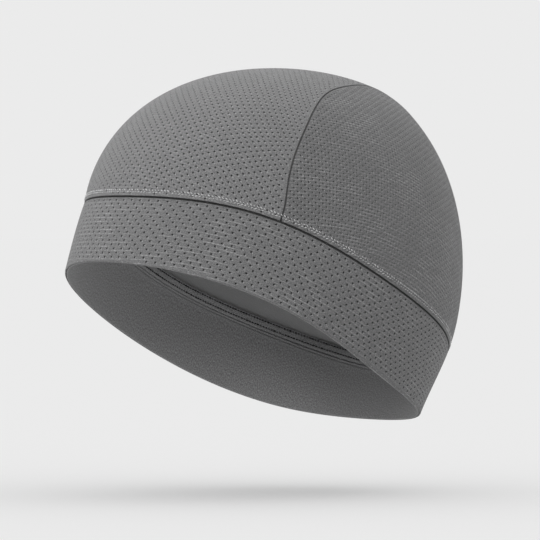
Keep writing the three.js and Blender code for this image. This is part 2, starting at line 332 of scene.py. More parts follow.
def band_point(theta, up):
    """Points of the band's outer face, up from 0 at the hem to 1 at the band seam."""
    up = np.asarray(up, float)[..., None]
    turn = np.degrees(from_brow(theta))[..., None]
    curl = sum(out * np.exp(-(((turn - at) / width) ** 2)) for at, out, width in HEM_CURLS)
    out = BAND_BOW * 4 * up * (1 - up) + curl * np.clip(1 - up, 0, 1) ** 3
    outward = np.stack([*round_disc(theta), np.zeros_like(theta)], -1)
    return rim_point(theta) * (1 - up) + crown_base(*round_disc(theta)) * up + out * outward


def lean(points):
    """The cap leans back on the head."""
    c, s = math.cos(WEAR_TILT), math.sin(WEAR_TILT)
    return points @ np.array([[1, 0, 0], [0, c, s], [0, -s, c]]).T


def hollow_top():
    back = np.linspace(-0.6, 0.6, HOLLOW_SAMPLES)
    side = np.zeros_like(back)
    inner = lean(crown_point(side, back) - CROWN_WALL * normal_of(crown_point, side, back))
    return inner[inner[:, 2].argmax()]


HOLLOW_TOP = hollow_top()


def placed(points):
    """From the cap's own millimetres to the row frame in metres."""
    return (lean(points) - HOLLOW_TOP) * MM


SEAM_LINE = spaced(SEAM_COURSE, SEAM_STEPS)


def seam_place(share):
    at = np.clip(share, 0, 1) * SEAM_STEPS
    return np.stack([np.interp(at, np.arange(SEAM_STEPS + 1), SEAM_LINE[:, k]) for k in (0, 1)], -1)


def centre_disc(s, t):
    """Disc place on the centre panel, s from brow to nape and t from seam to seam, -1 to 1."""
    place, first, last = seam_place(s), SEAM_LINE[0], SEAM_LINE[-1]
    brow = disc_point(t * PANEL_SEAM_BROW)
    nape = disc_point(180 - t * (180 - PANEL_SEAM_NAPE))
    run = first + (last - first) * s[..., None]
    out = brow + (nape - brow) * s[..., None] + place - run
    out[..., 0] += (t - 1) * (place - run)[..., 0]
    return out


def side_disc(hand, s, t):
    """Disc place on a side panel, t from the band seam up to the panel seam."""
    arc = disc_point(PANEL_SEAM_BROW + (PANEL_SEAM_NAPE - PANEL_SEAM_BROW) * s)
    out = arc + (seam_place(s) - arc) * t[..., None]
    out[..., 0] *= hand
    return out


# Cloth laid flat, its outline and its eyelets.


def mesh_piece(name, points, edges=(), faces=(), **attributes):
    """A new object with a mesh, and named attributes: (kind, domain, values) each."""
    mesh = bpy.data.meshes.new(name)
    mesh.from_pydata(points.tolist(), edges, faces)
    for key, (kind, domain, values) in attributes.items():
        stored = mesh.attributes.new(key, kind, domain).data
        stored.foreach_set("vector" if kind == "FLOAT_VECTOR" else "value", np.ravel(values))
    piece = bpy.data.objects.new(name, mesh)
    bpy.context.collection.objects.link(piece)
    return piece


def grid_faces(rows, columns):
    a = (np.arange(rows - 1)[:, None] * columns + np.arange(columns - 1)).ravel()
    b, c, d = a + 1, a + columns + 1, a + columns
    return np.vstack([np.stack([a, b, c], -1), np.stack([a, c, d], -1)])


def sides_of(points, faces):
    """The two sides from each triangle's first corner."""
    corners = points[faces]
    return corners[:, 1] - corners[:, 0], corners[:, 2] - corners[:, 0]


def cross_flat(a, b):
    """Cross products of vectors in the plane."""
    return a[:, 0] * b[:, 1] - a[:, 1] * b[:, 0]


def signed_area(loop):
    """Area in a closed loop, positive where it runs counter-clockwise."""
    return cross_flat(loop, np.roll(loop, -1, axis=0)).sum() / 2


def flattened(points, faces):
    """The cutting shape of a panel: each grid point's place on the table, in millimetres."""
    piece = mesh_piece("cutting_shape", points, faces=faces.tolist())
    mesh = piece.data
    bpy.context.view_layer.objects.active = piece
    piece.select_set(True)
    bpy.ops.object.mode_set(mode="EDIT")
    bpy.ops.mesh.select_all(action="SELECT")
    bpy.ops.uv.unwrap(method="MINIMUM_STRETCH", margin=0.0)
    bpy.ops.object.mode_set(mode="OBJECT")
    uv = np.empty(len(mesh.loops) * 2)
    mesh.uv_layers.active.data.foreach_get("uv", uv)
    corner = np.empty(len(mesh.loops), int)
    mesh.loops.foreach_get("vertex_index", corner)
    flat = np.zeros((len(points), 2))
    flat[corner] = uv.reshape(-1, 2)
    thrown_away(piece)
    area = np.linalg.norm(np.cross(*sides_of(points, faces)), axis=1).sum()
    signed = cross_flat(*sides_of(flat, faces)).sum()
    return flat * math.sqrt(area / abs(signed)) * (1 if signed > 0 else -1, 1)


def turned(flat, start, end):
    """The cutting shape turned so that the run from start to end lies along its first axis."""
    along = unit(end - start)
    return (flat - start) @ np.array([[along[0], -along[1]], [along[1], along[0]]])


def inside(points, loop):
    """Which points lie in a closed loop."""
    (ax, ay), (bx, by) = loop.T, np.roll(loop, -1, axis=0).T
    x, y = points[:, None, 0], points[:, None, 1]
    rise = np.where(np.abs(by - ay) < 1e-12, 1e-12, by - ay)
    at = ax + (y - ay) * (bx - ax) / rise
    return ((((ay > y) != (by > y)) & (x < at)).sum(1) % 2).astype(bool)


def inward_of(loop):
    """Unit normals of a counter-clockwise closed loop, pointing in."""
    step = unit(np.roll(loop, -1, axis=0) - np.roll(loop, 1, axis=0))
    return np.stack([-step[:, 1], step[:, 0]], -1)


def roll_steps(radius, angle, count=3):
    """Distances from a cut edge, and lean there, of the cloth rolling in at a seam."""
    lean_at = np.linspace(angle, 0, count + 1)
    return radius * (math.sin(angle) - np.sin(lean_at)), lean_at


def octagons(centres, radius):
    turn = (np.arange(8) + 0.5) / 8 * 2 * np.pi
    return centres[:, None] + radius * np.stack([np.cos(turn), np.sin(turn)], -1)


def cut_mesh(points, loops, outline):
    """Triangles of the cloth round its eyelets. Returns the triangles that lie on cloth."""
    edges = [e for loop in [outline, *loops] for e in zip(loop, [*loop[1:], loop[0]])]
    places, _, faces, origin, *_ = delaunay_2d_cdt([Vector(p) for p in points], edges, [], 0, 1e-6, True)
    if len(places) != len(points):
        raise RuntimeError("The cloth's outline or its eyelets cross each other.")
    tri = np.array([o[0] for o in origin])[np.array(faces)]
    owner = np.full(len(points), -1)
    for k, loop in enumerate(loops):
        owner[loop] = k
    own = owner[tri]
    tri = tri[(own[:, 0] < 0) | (own[:, 0] != own[:, 1]) | (own[:, 1] != own[:, 2])]
    return tri[inside(points[tri].mean(1), points[outline])]


def lattice(low, high, column, row, phase):
    """Eyelet centres: rows a row apart, every other row shifted by half a column."""
    rows = np.arange(math.floor((low[1] - phase[1]) / row) - 1, math.ceil((high[1] - phase[1]) / row) + 2)
    columns = np.arange(math.floor((low[0] - phase[0]) / column) - 2, math.ceil((high[0] - phase[0]) / column) + 2)
    j, i = np.meshgrid(rows, columns, indexing="ij")
    return np.stack([phase[0] + column * (i + 0.5 * (j % 2)), phase[1] + row * j], -1).reshape(-1, 2)


def cloth_object(name, places, outward, flat, shade, front, back, eyelets):
    """Mesh of a cloth's front with its eyelets and its back as flagged faces, and what its finish reads."""
    kinds = np.repeat([0, 1, 2], [len(front), len(back), len(eyelets)])
    return mesh_piece(
        name,
        placed(places),
        faces=[*front.tolist(), *back.tolist(), *eyelets],
        back_face=("BOOLEAN", "FACE", kinds == 1),
        eyelet=("BOOLEAN", "FACE", kinds == 2),
        outward=("FLOAT_VECTOR", "POINT", lean(outward)),
        flat_place=("FLOAT_VECTOR", "POINT", np.column_stack([flat, np.zeros(len(flat))]) * MM),
        seam_shade=("FLOAT", "POINT", shade),
    )


def seam_shade(distance, reach, depth):
    """Painted shade of a seam's groove: how dark the cloth is at a distance from its sewn edge."""
    return depth * np.clip(SHADE_STEEPNESS * (1 - distance / reach), 0, 1)


class CrownPanel:
    """One panel of the crown: its form, its cutting shape and the way between them."""

    def __init__(self, disc, rows, columns, low, closed_ends):
        s, t = np.meshgrid(np.linspace(0, 1, rows), np.linspace(low, 1, columns), indexing="ij")
        self.grid, faces = disc(s, t).reshape(-1, 2), grid_faces(rows, columns)
        place = np.arange(rows * columns)
        if closed_ends:
            place[:columns], place[-columns:] = 0, (rows - 1) * columns
            faces = place[faces]
            faces = faces[(faces != np.roll(faces, 1, axis=1)).all(1)]
            used, again = np.unique(faces, return_inverse=True)
            self.grid, faces = self.grid[used], again.reshape(-1, 3)
            place = np.searchsorted(used, place)
        points = crown_point(*self.grid.T)
        if (np.cross(*sides_of(points, faces)) * (points[faces].mean(1) - INSIDE_POINT)).sum() < 0:
            faces = faces[:, ::-1]
        place = place.reshape(rows, columns)
        if closed_ends:
            start, end, middle = place[0, 0], place[-1, 0], place[rows // 2, -1]
            loop = [*place[:, 0], *place[-2:0:-1, -1]]
            sewn_to_band = place[:, 0]
        else:
            start, end, middle = place[0, 0], place[0, -1], place[rows // 2, columns // 2]
            loop = [*place[0], *place[1:, -1], *place[-1, -2::-1], *place[-2:0:-1, 0]]
            sewn_to_band = place[[0, -1]]
        flat = flattened(points, faces)
        flat = turned(flat, flat[start], flat[end])
        if flat[middle, 1] < 0:
            flat = -flat
        loop = np.column_stack([flat[loop], np.isin(loop, sewn_to_band)])
        self.flat, self.faces, self.loop = flat, faces, loop if signed_area(loop) > 0 else loop[::-1]
        self.tree = BVHTree.FromPolygons(np.column_stack([flat, np.zeros(len(flat))]).tolist(), faces.tolist())

    def disc_at(self, flat):
        """Disc places of points of the cutting shape."""
        found = [self.tree.find_nearest((x, y, 0.0)) for x, y in flat.tolist()]
        tri = self.faces[[f[2] for f in found]]
        ab, ac = sides_of(self.flat, tri)
        ap = np.array([f[0][:2] for f in found]) - self.flat[tri[:, 0]]
        v, w = (cross_flat(*pair) / cross_flat(ab, ac) for pair in ((ap, ac), (ab, ap)))
        return (self.grid[tri] * np.stack([1 - v - w, v, w], -1)[..., None]).sum(1)

    def places(self, flat):
        """Places and outward normals on the cap of points of the cutting shape."""
        disc = self.disc_at(flat)
        near = disc * np.minimum(1, NEAR_EDGE / np.maximum(np.hypot(*disc.T), 1e-9))[:, None]
        return crown_point(*disc.T), normal_of(crown_point, *near.T)


def band_heights(theta):
    """A grid over the band's outer face, and the band's height along it at each angle."""
    grid = band_point(*np.meshgrid(theta, np.linspace(0, 1, 25), indexing="ij"))
    return grid, run_along(grid)[:, -1]


class BandCloth:
    """The band's outer cloth, laid out along the band seam and joined at the nape."""

    def __init__(self, steps=720):
        self.theta = np.linspace(-np.pi, np.pi, steps + 1)
        grid, self.height = band_heights(self.theta)
        self.along = run_along(grid[:, 12])
        self.length = self.along[-1]

    def heights(self, along):
        return np.interp(along, self.along, self.height)

    def places(self, flat):
        theta = np.interp(flat[:, 0], self.along, self.theta)
        up = 1 + flat[:, 1] / np.interp(theta, self.theta, self.height)
        return band_point(theta, up), normal_of(band_point, theta, np.clip(up, 0.01, 0.99))


def laid_cloth(name, cloth, edges, rims, inner, outline, roll, joined=((), ())):
    """Cuts a cloth's front round its eyelets and its plain back, lays both on the form and rolls their edges in.

    Front and back share the corners along the edges. For each of those, roll holds how far the cloth turns in, the
    radius, the way and the painted shade there. joined holds the corners of two ends that are one on the cap.
    """
    lean_at, radius, way, dark = roll
    front, back = np.vstack([edges, rims.reshape(-1, 2)]), np.vstack([edges, inner])
    points = np.vstack([front, back])
    loops = np.arange(len(edges), len(front)).reshape(len(rims), -1).tolist()
    same = np.arange(len(points))
    for start in (0, len(front)):
        same[np.array(joined[1], int) + start] = np.array(joined[0], int) + start
    front_faces = same[cut_mesh(front, loops, outline)]
    back_faces = same[cut_mesh(back, [], outline) + len(front)]
    where, normal = cloth.places(points)
    shade = np.zeros(len(points))
    for start in (0, len(front)):
        part = slice(start, start + len(edges))
        base = normal[part].copy()
        where[part] -= base * (radius * (1 - np.cos(lean_at)))[:, None]
        normal[part] = base * np.cos(lean_at)[:, None] + way * np.sin(lean_at)[:, None]
        shade[part] = dark
    return cloth_object(name, where, normal, points, shade, front_faces, back_faces, loops)


def crown_cloth(name, cloth, settings, pitch, phase, lip, closing):
    """A crown panel's cloth, its edges rolled in at the seams. Returns the piece and its flat outline."""
    radius = settings.seam_roll / MM
    outline = spaced(cloth.loop, round(path_length(cloth.loop[:, :2]) / EDGE_STEP), closed=True)
    on_band, outline = outline[:, 2] > 0.5, outline[:, :2]
    inward = inward_of(outline)
    outline = outline + inward * (settings.seam_gap / MM)
    rings, kept, lean_at = [], [], []
    for depth, turn in zip(*roll_steps(radius, settings.seam_roll_angle)):
        ring = outline + inward * depth
        keep = (depth == 0) | (distance_to_line(ring, outline, True) > depth - RING_SLACK) & inside(ring, outline)
        rings.append(ring[keep])
        kept.append(np.flatnonzero(keep))
        lean_at.append(np.full(keep.sum(), turn))
    rolled, rings, kept, lean_at = depth, *map(np.concatenate, (rings, kept, lean_at))

    def clear(places, distance):
        places = places[inside(places, outline)]
        return places[distance_to_line(places, outline, True) > rolled + distance]

    centres = clear(lattice(outline.min(0), outline.max(0), *pitch, phase), lip + EYELET_CLEAR)
    drawn = np.interp(centres[:, 0], closing[:2], (1.0, 0.5 + 0.5 * closing[2]))
    inner = clear(lattice(outline.min(0), outline.max(0), *BACK_LATTICE, (0.0, 0.0)), BACK_CLEAR)
    toward = (cloth.places(outline)[0] - cloth.places(outline + inward * CROWN_PROBE)[0])[kept]
    base = cloth.places(rings)[1]
    way = unit(toward - base * (toward * base).sum(1, keepdims=True))
    # Painted shade in the seam's groove, wider and darker at the band seam than at the panel seams.
    shades = (np.array(shade)[:, None] for shade in (CROWN_EDGE_SHADE, PANEL_SEAM_SHADE))
    reach, depth = np.where(on_band[kept], *shades)
    dark = seam_shade(distance_to_line(rings, outline, True), reach, depth)
    rims = octagons(centres, lip * drawn[:, None, None])
    piece = laid_cloth(name, cloth, rings, rims, inner, list(range(len(outline))), (lean_at, radius, way, dark))
    return piece, outline


def band_cloth(name, cloth, settings, pitch, phase):
    """The band's outer cloth, rolled in at the band seam and the hem. Returns the piece and its flat outline."""
    gap, lip = settings.seam_gap / MM, settings.eyelet_lip * BAND_LIP / MM / 2
    steps = round(cloth.length / BAND_EDGE_STEP)
    along = np.linspace(0, cloth.length, steps + 1)
    rows, roll = [], []
    for depth, turn in zip(*roll_steps(settings.seam_roll / MM, settings.seam_roll_angle)):
        rows.append(np.column_stack([along, np.full(steps + 1, -gap - depth)]))
        roll.append((turn, settings.seam_roll / MM, 1.0))
    seam_end = depth
    for depth, turn in zip(*roll_steps(HEM_ROLL, HEM_ROLL_ANGLE)):
        rows.append(np.column_stack([along, -cloth.heights(along) + depth]))
        roll.append((turn, HEM_ROLL, -1.0))
    hem_end, half = depth, len(rows) // 2

    def clear(step, phase, from_ends, from_edges):
        places = lattice((0.0, -cloth.height.max()), (cloth.length, 0.0), *step, phase)
        x, y = places.T
        high, low = -gap - seam_end - from_edges, -cloth.heights(x) + hem_end + from_edges
        return places[(x > from_ends) & (x < cloth.length - from_ends) & (y < high) & (y > low)]

    room = lip + BAND_EYELET_CLEAR
    rims = octagons(clear(pitch, phase, room, room), lip)
    inner = clear(BACK_LATTICE, BAND_BACK_PHASE, BACK_CLEAR, BAND_BACK_CLEAR)
    down = -np.arange(BAND_END_CLEAR[0], cloth.heights(0.0) - BAND_END_CLEAR[1], BACK_CLEAR)
    ends = [np.column_stack([np.full(len(down), side), down]) for side in (0.0, cloth.length)]
    edges = np.vstack([*rows, *ends])
    starts = np.arange(len(rows)) * (steps + 1)
    between = len(rows) * (steps + 1) + np.arange(len(down))
    left = [*starts[:half], *between, *starts[: half - 1 : -1]]
    right = [*(starts[:half] + steps), *(between + len(down)), *(starts[: half - 1 : -1] + steps)]
    hem = starts[half]
    outline = [*left, *range(hem + 1, hem + steps), *right[::-1], *range(steps - 1, 0, -1)]
    outline = [int(k) for k in outline]
    roll = np.vstack([np.repeat(roll, steps + 1, axis=0), np.zeros((2 * len(down), 3))])
    toward = cloth.places(edges + (0.0, BAND_PROBE))[0] - cloth.places(edges - (0.0, BAND_PROBE))[0]
    # Painted shade in the band seam's groove, none at the hem or at the joined ends.
    dark = seam_shade(-gap - edges[:, 1], *BAND_EDGE_SHADE)
    roll = (roll[:, 0], roll[:, 1], unit(toward) * roll[:, 2:], dark)
    return laid_cloth(name, cloth, edges, rims, inner, outline, roll, (left, right)), edges[outline]


# Node trees that perforate and thicken the cloth and lay stitches along a path.


def node(tree, kind, links=(), **settings):
    """A node of a geometry or material tree, its inputs linked or set: (socket, source or value) each."""
    made = tree.nodes.new(kind)
    for key, value in settings.items():
        setattr(made, key, value)
    for socket, source in links:
        if isinstance(source, bpy.types.NodeSocket):
            tree.links.new(source, made.inputs[socket])
        else:
            made.inputs[socket].default_value = source
    return made


class Tree:
    """Builds a geometry tree step by step. Its inputs are named: (name, socket type, default) each."""

    def __init__(self, name, inputs):
        self.tree = bpy.data.node_groups.new(name, "GeometryNodeTree")
        for way in ("OUTPUT", "INPUT"):
            self.tree.interface.new_socket(name="Geometry", in_out=way, socket_type="NodeSocketGeometry")
        for label, kind, default in inputs:
            socket = self.tree.interface.new_socket(name=label, in_out="INPUT", socket_type=f"NodeSocket{kind}")
            if default is not None:
                socket.default_value = default
        self.given = self.tree.nodes.new("NodeGroupInput").outputs
        self.result = self.tree.nodes.new("NodeGroupOutput").inputs
        self.outward = self.named("outward", "FLOAT_VECTOR")

    def add(self, kind, *links, **settings):
        return node(self.tree, kind, links, **settings).outputs

    def grow(self, kind, *links, **settings):
        return self.add(f"GeometryNode{kind}", *links, **settings)

    def named(self, name, kind):
        """What the mesh holds under a name."""
        return self.grow("InputNamedAttribute", ("Name", name), data_type=kind)[0]

    def drawn(self, mesh, individual, *selection):
        """New faces on those of a mesh, or on selected ones, still in the same place."""
        links = ("Mesh", mesh), *selection, ("Offset Scale", 0.0), ("Individual", individual)
        return self.grow("ExtrudeMesh", *links, mode="FACES")

    def moved(self, mesh, selection, depth):
        """Moves the selected part into the cloth by a depth."""
        down = self.add("ShaderNodeMath", (0, depth), (1, -1.0), operation="MULTIPLY")[0]
        sink = self.add("ShaderNodeVectorMath", (0, self.outward), ("Scale", down), operation="SCALE")[0]
        return self.grow("SetPosition", ("Geometry", mesh), ("Selection", selection), ("Offset", sink))[0]

    def sunk_face(self, mesh, selection, share, depth):
        """Draws selected faces together by a share and sinks them. Returns the mesh and the sunk faces."""
        drawn = self.drawn(mesh, True, ("Selection", selection))
        links = ("Geometry", drawn["Mesh"]), ("Selection", drawn["Top"]), ("Scale", share)
        return self.moved(self.grow("ScaleElements", *links, domain="FACE")[0], drawn["Top"], depth), drawn["Top"]

    def marked(self, mesh, selection, name):
        """Marks the selected part with a named number for its finish to read."""
        links = ("Geometry", mesh), ("Selection", selection), ("Name", name), ("Value", 1.0)
        return self.grow("StoreNamedAttribute", *links, data_type="FLOAT", domain="POINT")[0]

    def finished(self, geometry):
        real = self.grow("RealizeInstances", ("Geometry", geometry))[0]
        smooth = self.grow("SetShadeSmooth", ("Geometry", real))[0]
        painted = self.grow("SetMaterial", ("Geometry", smooth), ("Material", self.given["Material"]))[0]
        self.tree.links.new(painted, self.result[0])
        return self.tree


def cloth_tree():
    """Sinks a dimple and a blind eyelet at each flagged face, and gives the cloth its smooth back."""
    t = Tree(
        "perforated_cloth",
        [
            ("Wall", "Float", 0.0008),
            ("Eyelet Share", "Float", 0.65),
            ("Dimple Depth", "Float", 0.0002),
            ("Eyelet Depth", "Float", 0.0004),
            ("Material", "Material", None),
        ],
    )
    flag, is_back = t.named("eyelet", "BOOLEAN"), t.named("back_face", "BOOLEAN")
    cloth = t.grow("SeparateGeometry", ("Geometry", t.given["Geometry"]), ("Selection", is_back), domain="FACE")
    front, dimple = t.sunk_face(cloth[1], flag, t.given["Eyelet Share"], t.given["Dimple Depth"])
    front, floor = t.sunk_face(front, dimple, EYELET_FLOOR, t.given["Eyelet Depth"])
    # The floors are marked so that their finish paints them dark as the eyelets' shade.
    front = t.marked(front, floor, "eyelet_floor")
    wall = t.drawn(t.grow("FlipFaces", ("Mesh", cloth[0]))[0], False)
    back = t.marked(t.moved(wall["Mesh"], wall["Top"], t.given["Wall"]), wall["Top"], "cloth_back")
    joined = t.grow("JoinGeometry", (0, front), (0, back))[0]
    return t.finished(t.grow("MergeByDistance", ("Geometry", joined), ("Distance", 1e-6))[0])


def stitch_tree():
    """Lays a stitch at every step of a path, turned along it and standing off its cloth."""
    t = Tree(
        "stitch_row",
        [
            ("Stitch", "Object", None),
            ("Count", "Int", 100),
            ("Unevenness", "Float", 0.1),
            ("Seed", "Int", 1),
            ("Material", "Material", None),
        ],
    )
    path = t.grow("MeshToCurve", ("Mesh", t.given["Geometry"]))[0]
    steps = t.grow("ResampleCurve", ("Curve", path), ("Count", t.given["Count"]), mode="COUNT")[0]
    stitch = t.grow("ObjectInfo", ("Object", t.given["Stitch"]), transform_space="ORIGINAL")["Geometry"]
    align, tangent = "FunctionNodeAlignRotationToVector", t.grow("InputTangent")[0]
    up = t.add(align, ("Vector", t.outward), axis="Z")[0]
    turn = t.add(align, ("Rotation", up), ("Vector", tangent), axis="X", pivot_axis="Z")[0]
    less, more = (
        t.add("ShaderNodeMath", (0, 1.0), (1, t.given["Unevenness"]), operation=way)[0] for way in ("SUBTRACT", "ADD")
    )
    size = t.add("FunctionNodeRandomValue", (2, less), (3, more), ("Seed", t.given["Seed"]), data_type="FLOAT")[1]
    return t.finished(
        t.grow("InstanceOnPoints", ("Points", steps), ("Instance", stitch), ("Rotation", turn), ("Scale", size))[0]
    )


def tree_named(name, build):
    return bpy.data.node_groups.get(name) or build()


def made_real(piece, tree, values):
    """Runs a tree on a piece with the given inputs and keeps the result as a plain mesh."""
    grown = piece.modifiers.new(tree.name, "NODES")
    grown.node_group = tree
    for socket in tree.interface.items_tree:
        if socket.in_out == "INPUT" and socket.name in values:
            grown[socket.identifier] = values[socket.name]
    bpy.context.view_layer.update()
    settled = piece.evaluated_get(bpy.context.evaluated_depsgraph_get())
    mesh = bpy.data.meshes.new_from_object(settled)
    if not mesh.polygons:
        raise RuntimeError(f"{piece.name} came out empty.")
    piece.modifiers.clear()
    old = piece.data
    piece.data = mesh
    mesh.name = piece.name
    bpy.data.meshes.remove(old)
    return piece


def closed_and_outward(piece):
    """Stops the build where a piece isn't closed, and turns it right side out."""
    made = bmesh.new()
    made.from_mesh(piece.data)
    if any(not edge.is_manifold for edge in made.edges):
        raise RuntimeError(f"{piece.name} isn't closed.")
    if made.calc_volume(signed=True) < 0:
        bmesh.ops.reverse_faces(made, faces=made.faces)
        made.to_mesh(piece.data)
    made.free()
    return piece


def thrown_away(piece):
    mesh = piece.data
    bpy.data.objects.remove(piece)
    bpy.data.meshes.remove(mesh)


def drop_loose(piece):
    made = bmesh.new()
    made.from_mesh(piece.data)
    bmesh.ops.delete(made, geom=[v for v in made.verts if not v.link_faces], context="VERTS")
    made.to_mesh(piece.data)
    made.free()


# Rings of plain cloth and rows of stitches that run round the cap near the band seam.


class BandSeam:
    """Places near the band seam: how far above or below it, and how deep under the outer face."""

    def __init__(self, steps=360):
        self.theta = np.linspace(-np.pi, np.pi, steps, endpoint=False)
        self.height = band_heights(self.theta)[1]
        self.outs = np.linspace(1, 0.84, 41)
        self.climb = run_along(crown_point(*round_disc(self.theta[:, None], self.outs)))

    def above(self, rise, depth=0.0):
        """Round the crown, rise millimetres above the band seam."""
        out = np.array([np.interp(rise, climb, self.outs) for climb in self.climb])
        normal = normal_of(crown_point, *round_disc(self.theta, np.minimum(out, NEAR_EDGE)))
        return crown_point(*round_disc(self.theta, out)) - normal * depth, normal

    def below(self, share, offset=0.0, depth=0.0):
        """Round the band at a share of its height, moved up by offset millimetres."""
        up = share + offset / self.height
        normal = normal_of(band_point, self.theta, np.clip(up, 0.01, 0.99))
        return band_point(self.theta, up) - normal * depth


def ring_object(name, rows, knit, frame_node):
    """A closed cloth ring through rows of points, the rows going once round its section, put on the frame."""
    rings = np.stack(rows, 1)
    steps, around = rings.shape[:2]
    index = np.arange(steps * around).reshape(steps, around)
    ahead, over = np.roll(index, -1, axis=0), np.roll(index, -1, axis=1)
    faces = np.stack([index, over, np.roll(ahead, -1, axis=1), ahead], -1).reshape(-1, 4)
    flat = np.stack(np.broadcast_arrays(run_along(rings[:, 0])[:, None], run_along(rings[0])[None], 0.0), -1) * MM
    places = placed(rings.reshape(-1, 3))
    piece = mesh_piece(name, places, faces=faces.tolist(), flat_place=("FLOAT_VECTOR", "POINT", flat))
    piece.data.polygons.foreach_set("use_smooth", np.ones(len(piece.data.polygons), bool))
    piece.data.materials.append(knit)
    return put_on_frame(closed_and_outward(piece), [frame_node])


def path_object(name, points, outward):
    """A closed path for stitches, with the way up from its cloth at every point."""
    edges = [(k, (k + 1) % len(points)) for k in range(len(points))]
    return mesh_piece(name, placed(points), edges, outward=("FLOAT_VECTOR", "POINT", lean(outward)))


def thread_shape(name, line, radii, sides=6):
    """A short length of thread through a few points, closed at both ends, in millimetres."""
    line = np.asarray(line, float)
    along = unit(np.gradient(line, axis=0))
    over = unit(np.cross(along, (0.0, 1.0, 0.0)))
    across = np.cross(over, along)
    turn = np.arange(sides)[None, :, None] / sides * 2 * np.pi
    section = across[:, None] * np.cos(turn) + over[:, None] * np.sin(turn)
    tube = (line[:, None] + np.asarray(radii)[:, None, None] * section).reshape(-1, 3)
    index = np.arange(len(tube)).reshape(-1, sides)
    over = np.roll(index, -1, axis=1)
    faces = np.stack([index[:-1], over[:-1], over[1:], index[1:]], -1).reshape(-1, 4).tolist()
    ends = [index[0, ::-1].tolist(), index[-1].tolist()]
    return closed_and_outward(mesh_piece(name, tube * MM, faces=[*faces, *ends]))


def stitched(name, rows, shapes, pitch, uneven, seed, material):
    """One piece of all the stitches along several rows, each row with its own shape of stitch."""
    tree = tree_named("stitch_row", stitch_tree)
    parts = []
    for k, ((points, outward), shape) in enumerate(zip(rows, shapes)):
        values = {
            "Stitch": shape,
            "Count": round(path_length(points) / pitch),
            "Unevenness": uneven,
            "Seed": seed + k,
            "Material": material,
        }
        parts.append(made_real(path_object(f"{name}_row_{k}", points, outward), tree, values))
    with bpy.context.temp_override(active_object=parts[0], selected_editable_objects=parts):
        bpy.ops.object.join()
    parts[0].name = parts[0].data.name = name
    for shape in dict.fromkeys(shapes):
        thrown_away(shape)
    return put_on_frame(parts[0], [])


# Finishes.


class Finish:
    """Builds a node material step by step."""

    def __init__(self, name):
        self.material = bpy.data.materials.new(name)
        self.material.use_nodes = True
        self.tree = self.material.node_tree
        self.shader = self.tree.nodes["Principled BSDF"]

    def add(self, kind, links=(), **settings):
        return node(self.tree, kind, links, **settings)

    def math(self, operation, a, b=0.0, c=0.0):
        return self.add("ShaderNodeMath", [(0, a), (1, b), (2, c)], operation=operation).outputs[0]

    def times(self, a, b):
        return self.math("MULTIPLY", a, b)

    def read(self, name, output="Fac"):
        return self.add("ShaderNodeAttribute", attribute_name=name, attribute_type="GEOMETRY").outputs[output]

    def flat(self):
        """The cloth's flat place in millimetres: as a vector, along the rows and across them."""
        place = [(0, self.read("flat_place", "Vector")), ("Scale", 1000.0)]
        scaled = self.add("ShaderNodeVectorMath", place, operation="SCALE").outputs[0]
        parts = self.add("ShaderNodeSeparateXYZ", [(0, scaled)])
        return scaled, parts.outputs[0], parts.outputs[1]

    def noise(self, vector, stretch=None, scale=1.0, detail=2.0, roughness=0.5):
        """Noise over a place, stretched along and across the rows where stretch says so."""
        if stretch:
            stretch = [(0, vector), (1, (*stretch, 1.0))]
            vector = self.add("ShaderNodeVectorMath", stretch, operation="MULTIPLY").outputs[0]
        links = [("Vector", vector), ("Scale", scale), ("Detail", detail), ("Roughness", roughness)]
        return self.add("ShaderNodeTexNoise", links).outputs["Fac"]

    def graded(self, value, low, high, to_low=0.0, to_high=1.0):
        links = [("Value", value), ("From Min", low), ("From Max", high), ("To Min", to_low), ("To Max", to_high)]
        return self.add("ShaderNodeMapRange", links, interpolation_type="SMOOTHSTEP").outputs[0]

    def mixed(self, share, a, b, **settings):
        made = self.add("ShaderNodeMix", data_type="RGBA", **settings)
        for socket, value in ((0, share), (6, a), (7, b)):
            if isinstance(value, bpy.types.NodeSocket):
                self.tree.links.new(value, made.inputs[socket])
            else:
                made.inputs[socket].default_value = value if socket == 0 else (*value, 1.0)
        return made.outputs[2]

    def wave(self, place, pitch, shift=0.0):
        """A smooth swing from 0 to 1 once every pitch along a place."""
        angle = self.math("MULTIPLY_ADD", place, 2 * math.pi / pitch, shift)
        return self.math("MULTIPLY_ADD", self.math("COSINE", angle), 0.5, 0.5)

    def bump(self, height, strength, distance):
        made = self.add("ShaderNodeBump", [("Height", height), ("Strength", strength), ("Distance", distance)])
        self.tree.links.new(made.outputs[0], self.shader.inputs["Normal"])

    def set(self, specular, **values):
        """Sets or links the shader's inputs by name, the specular level first."""
        self.shader.inputs["Specular IOR Level"].default_value = specular
        for label, value in values.items():
            socket = self.shader.inputs[label.replace("_", " ").title()]
            if isinstance(value, bpy.types.NodeSocket):
                self.tree.links.new(value, socket)
            else:
                socket.default_value = value


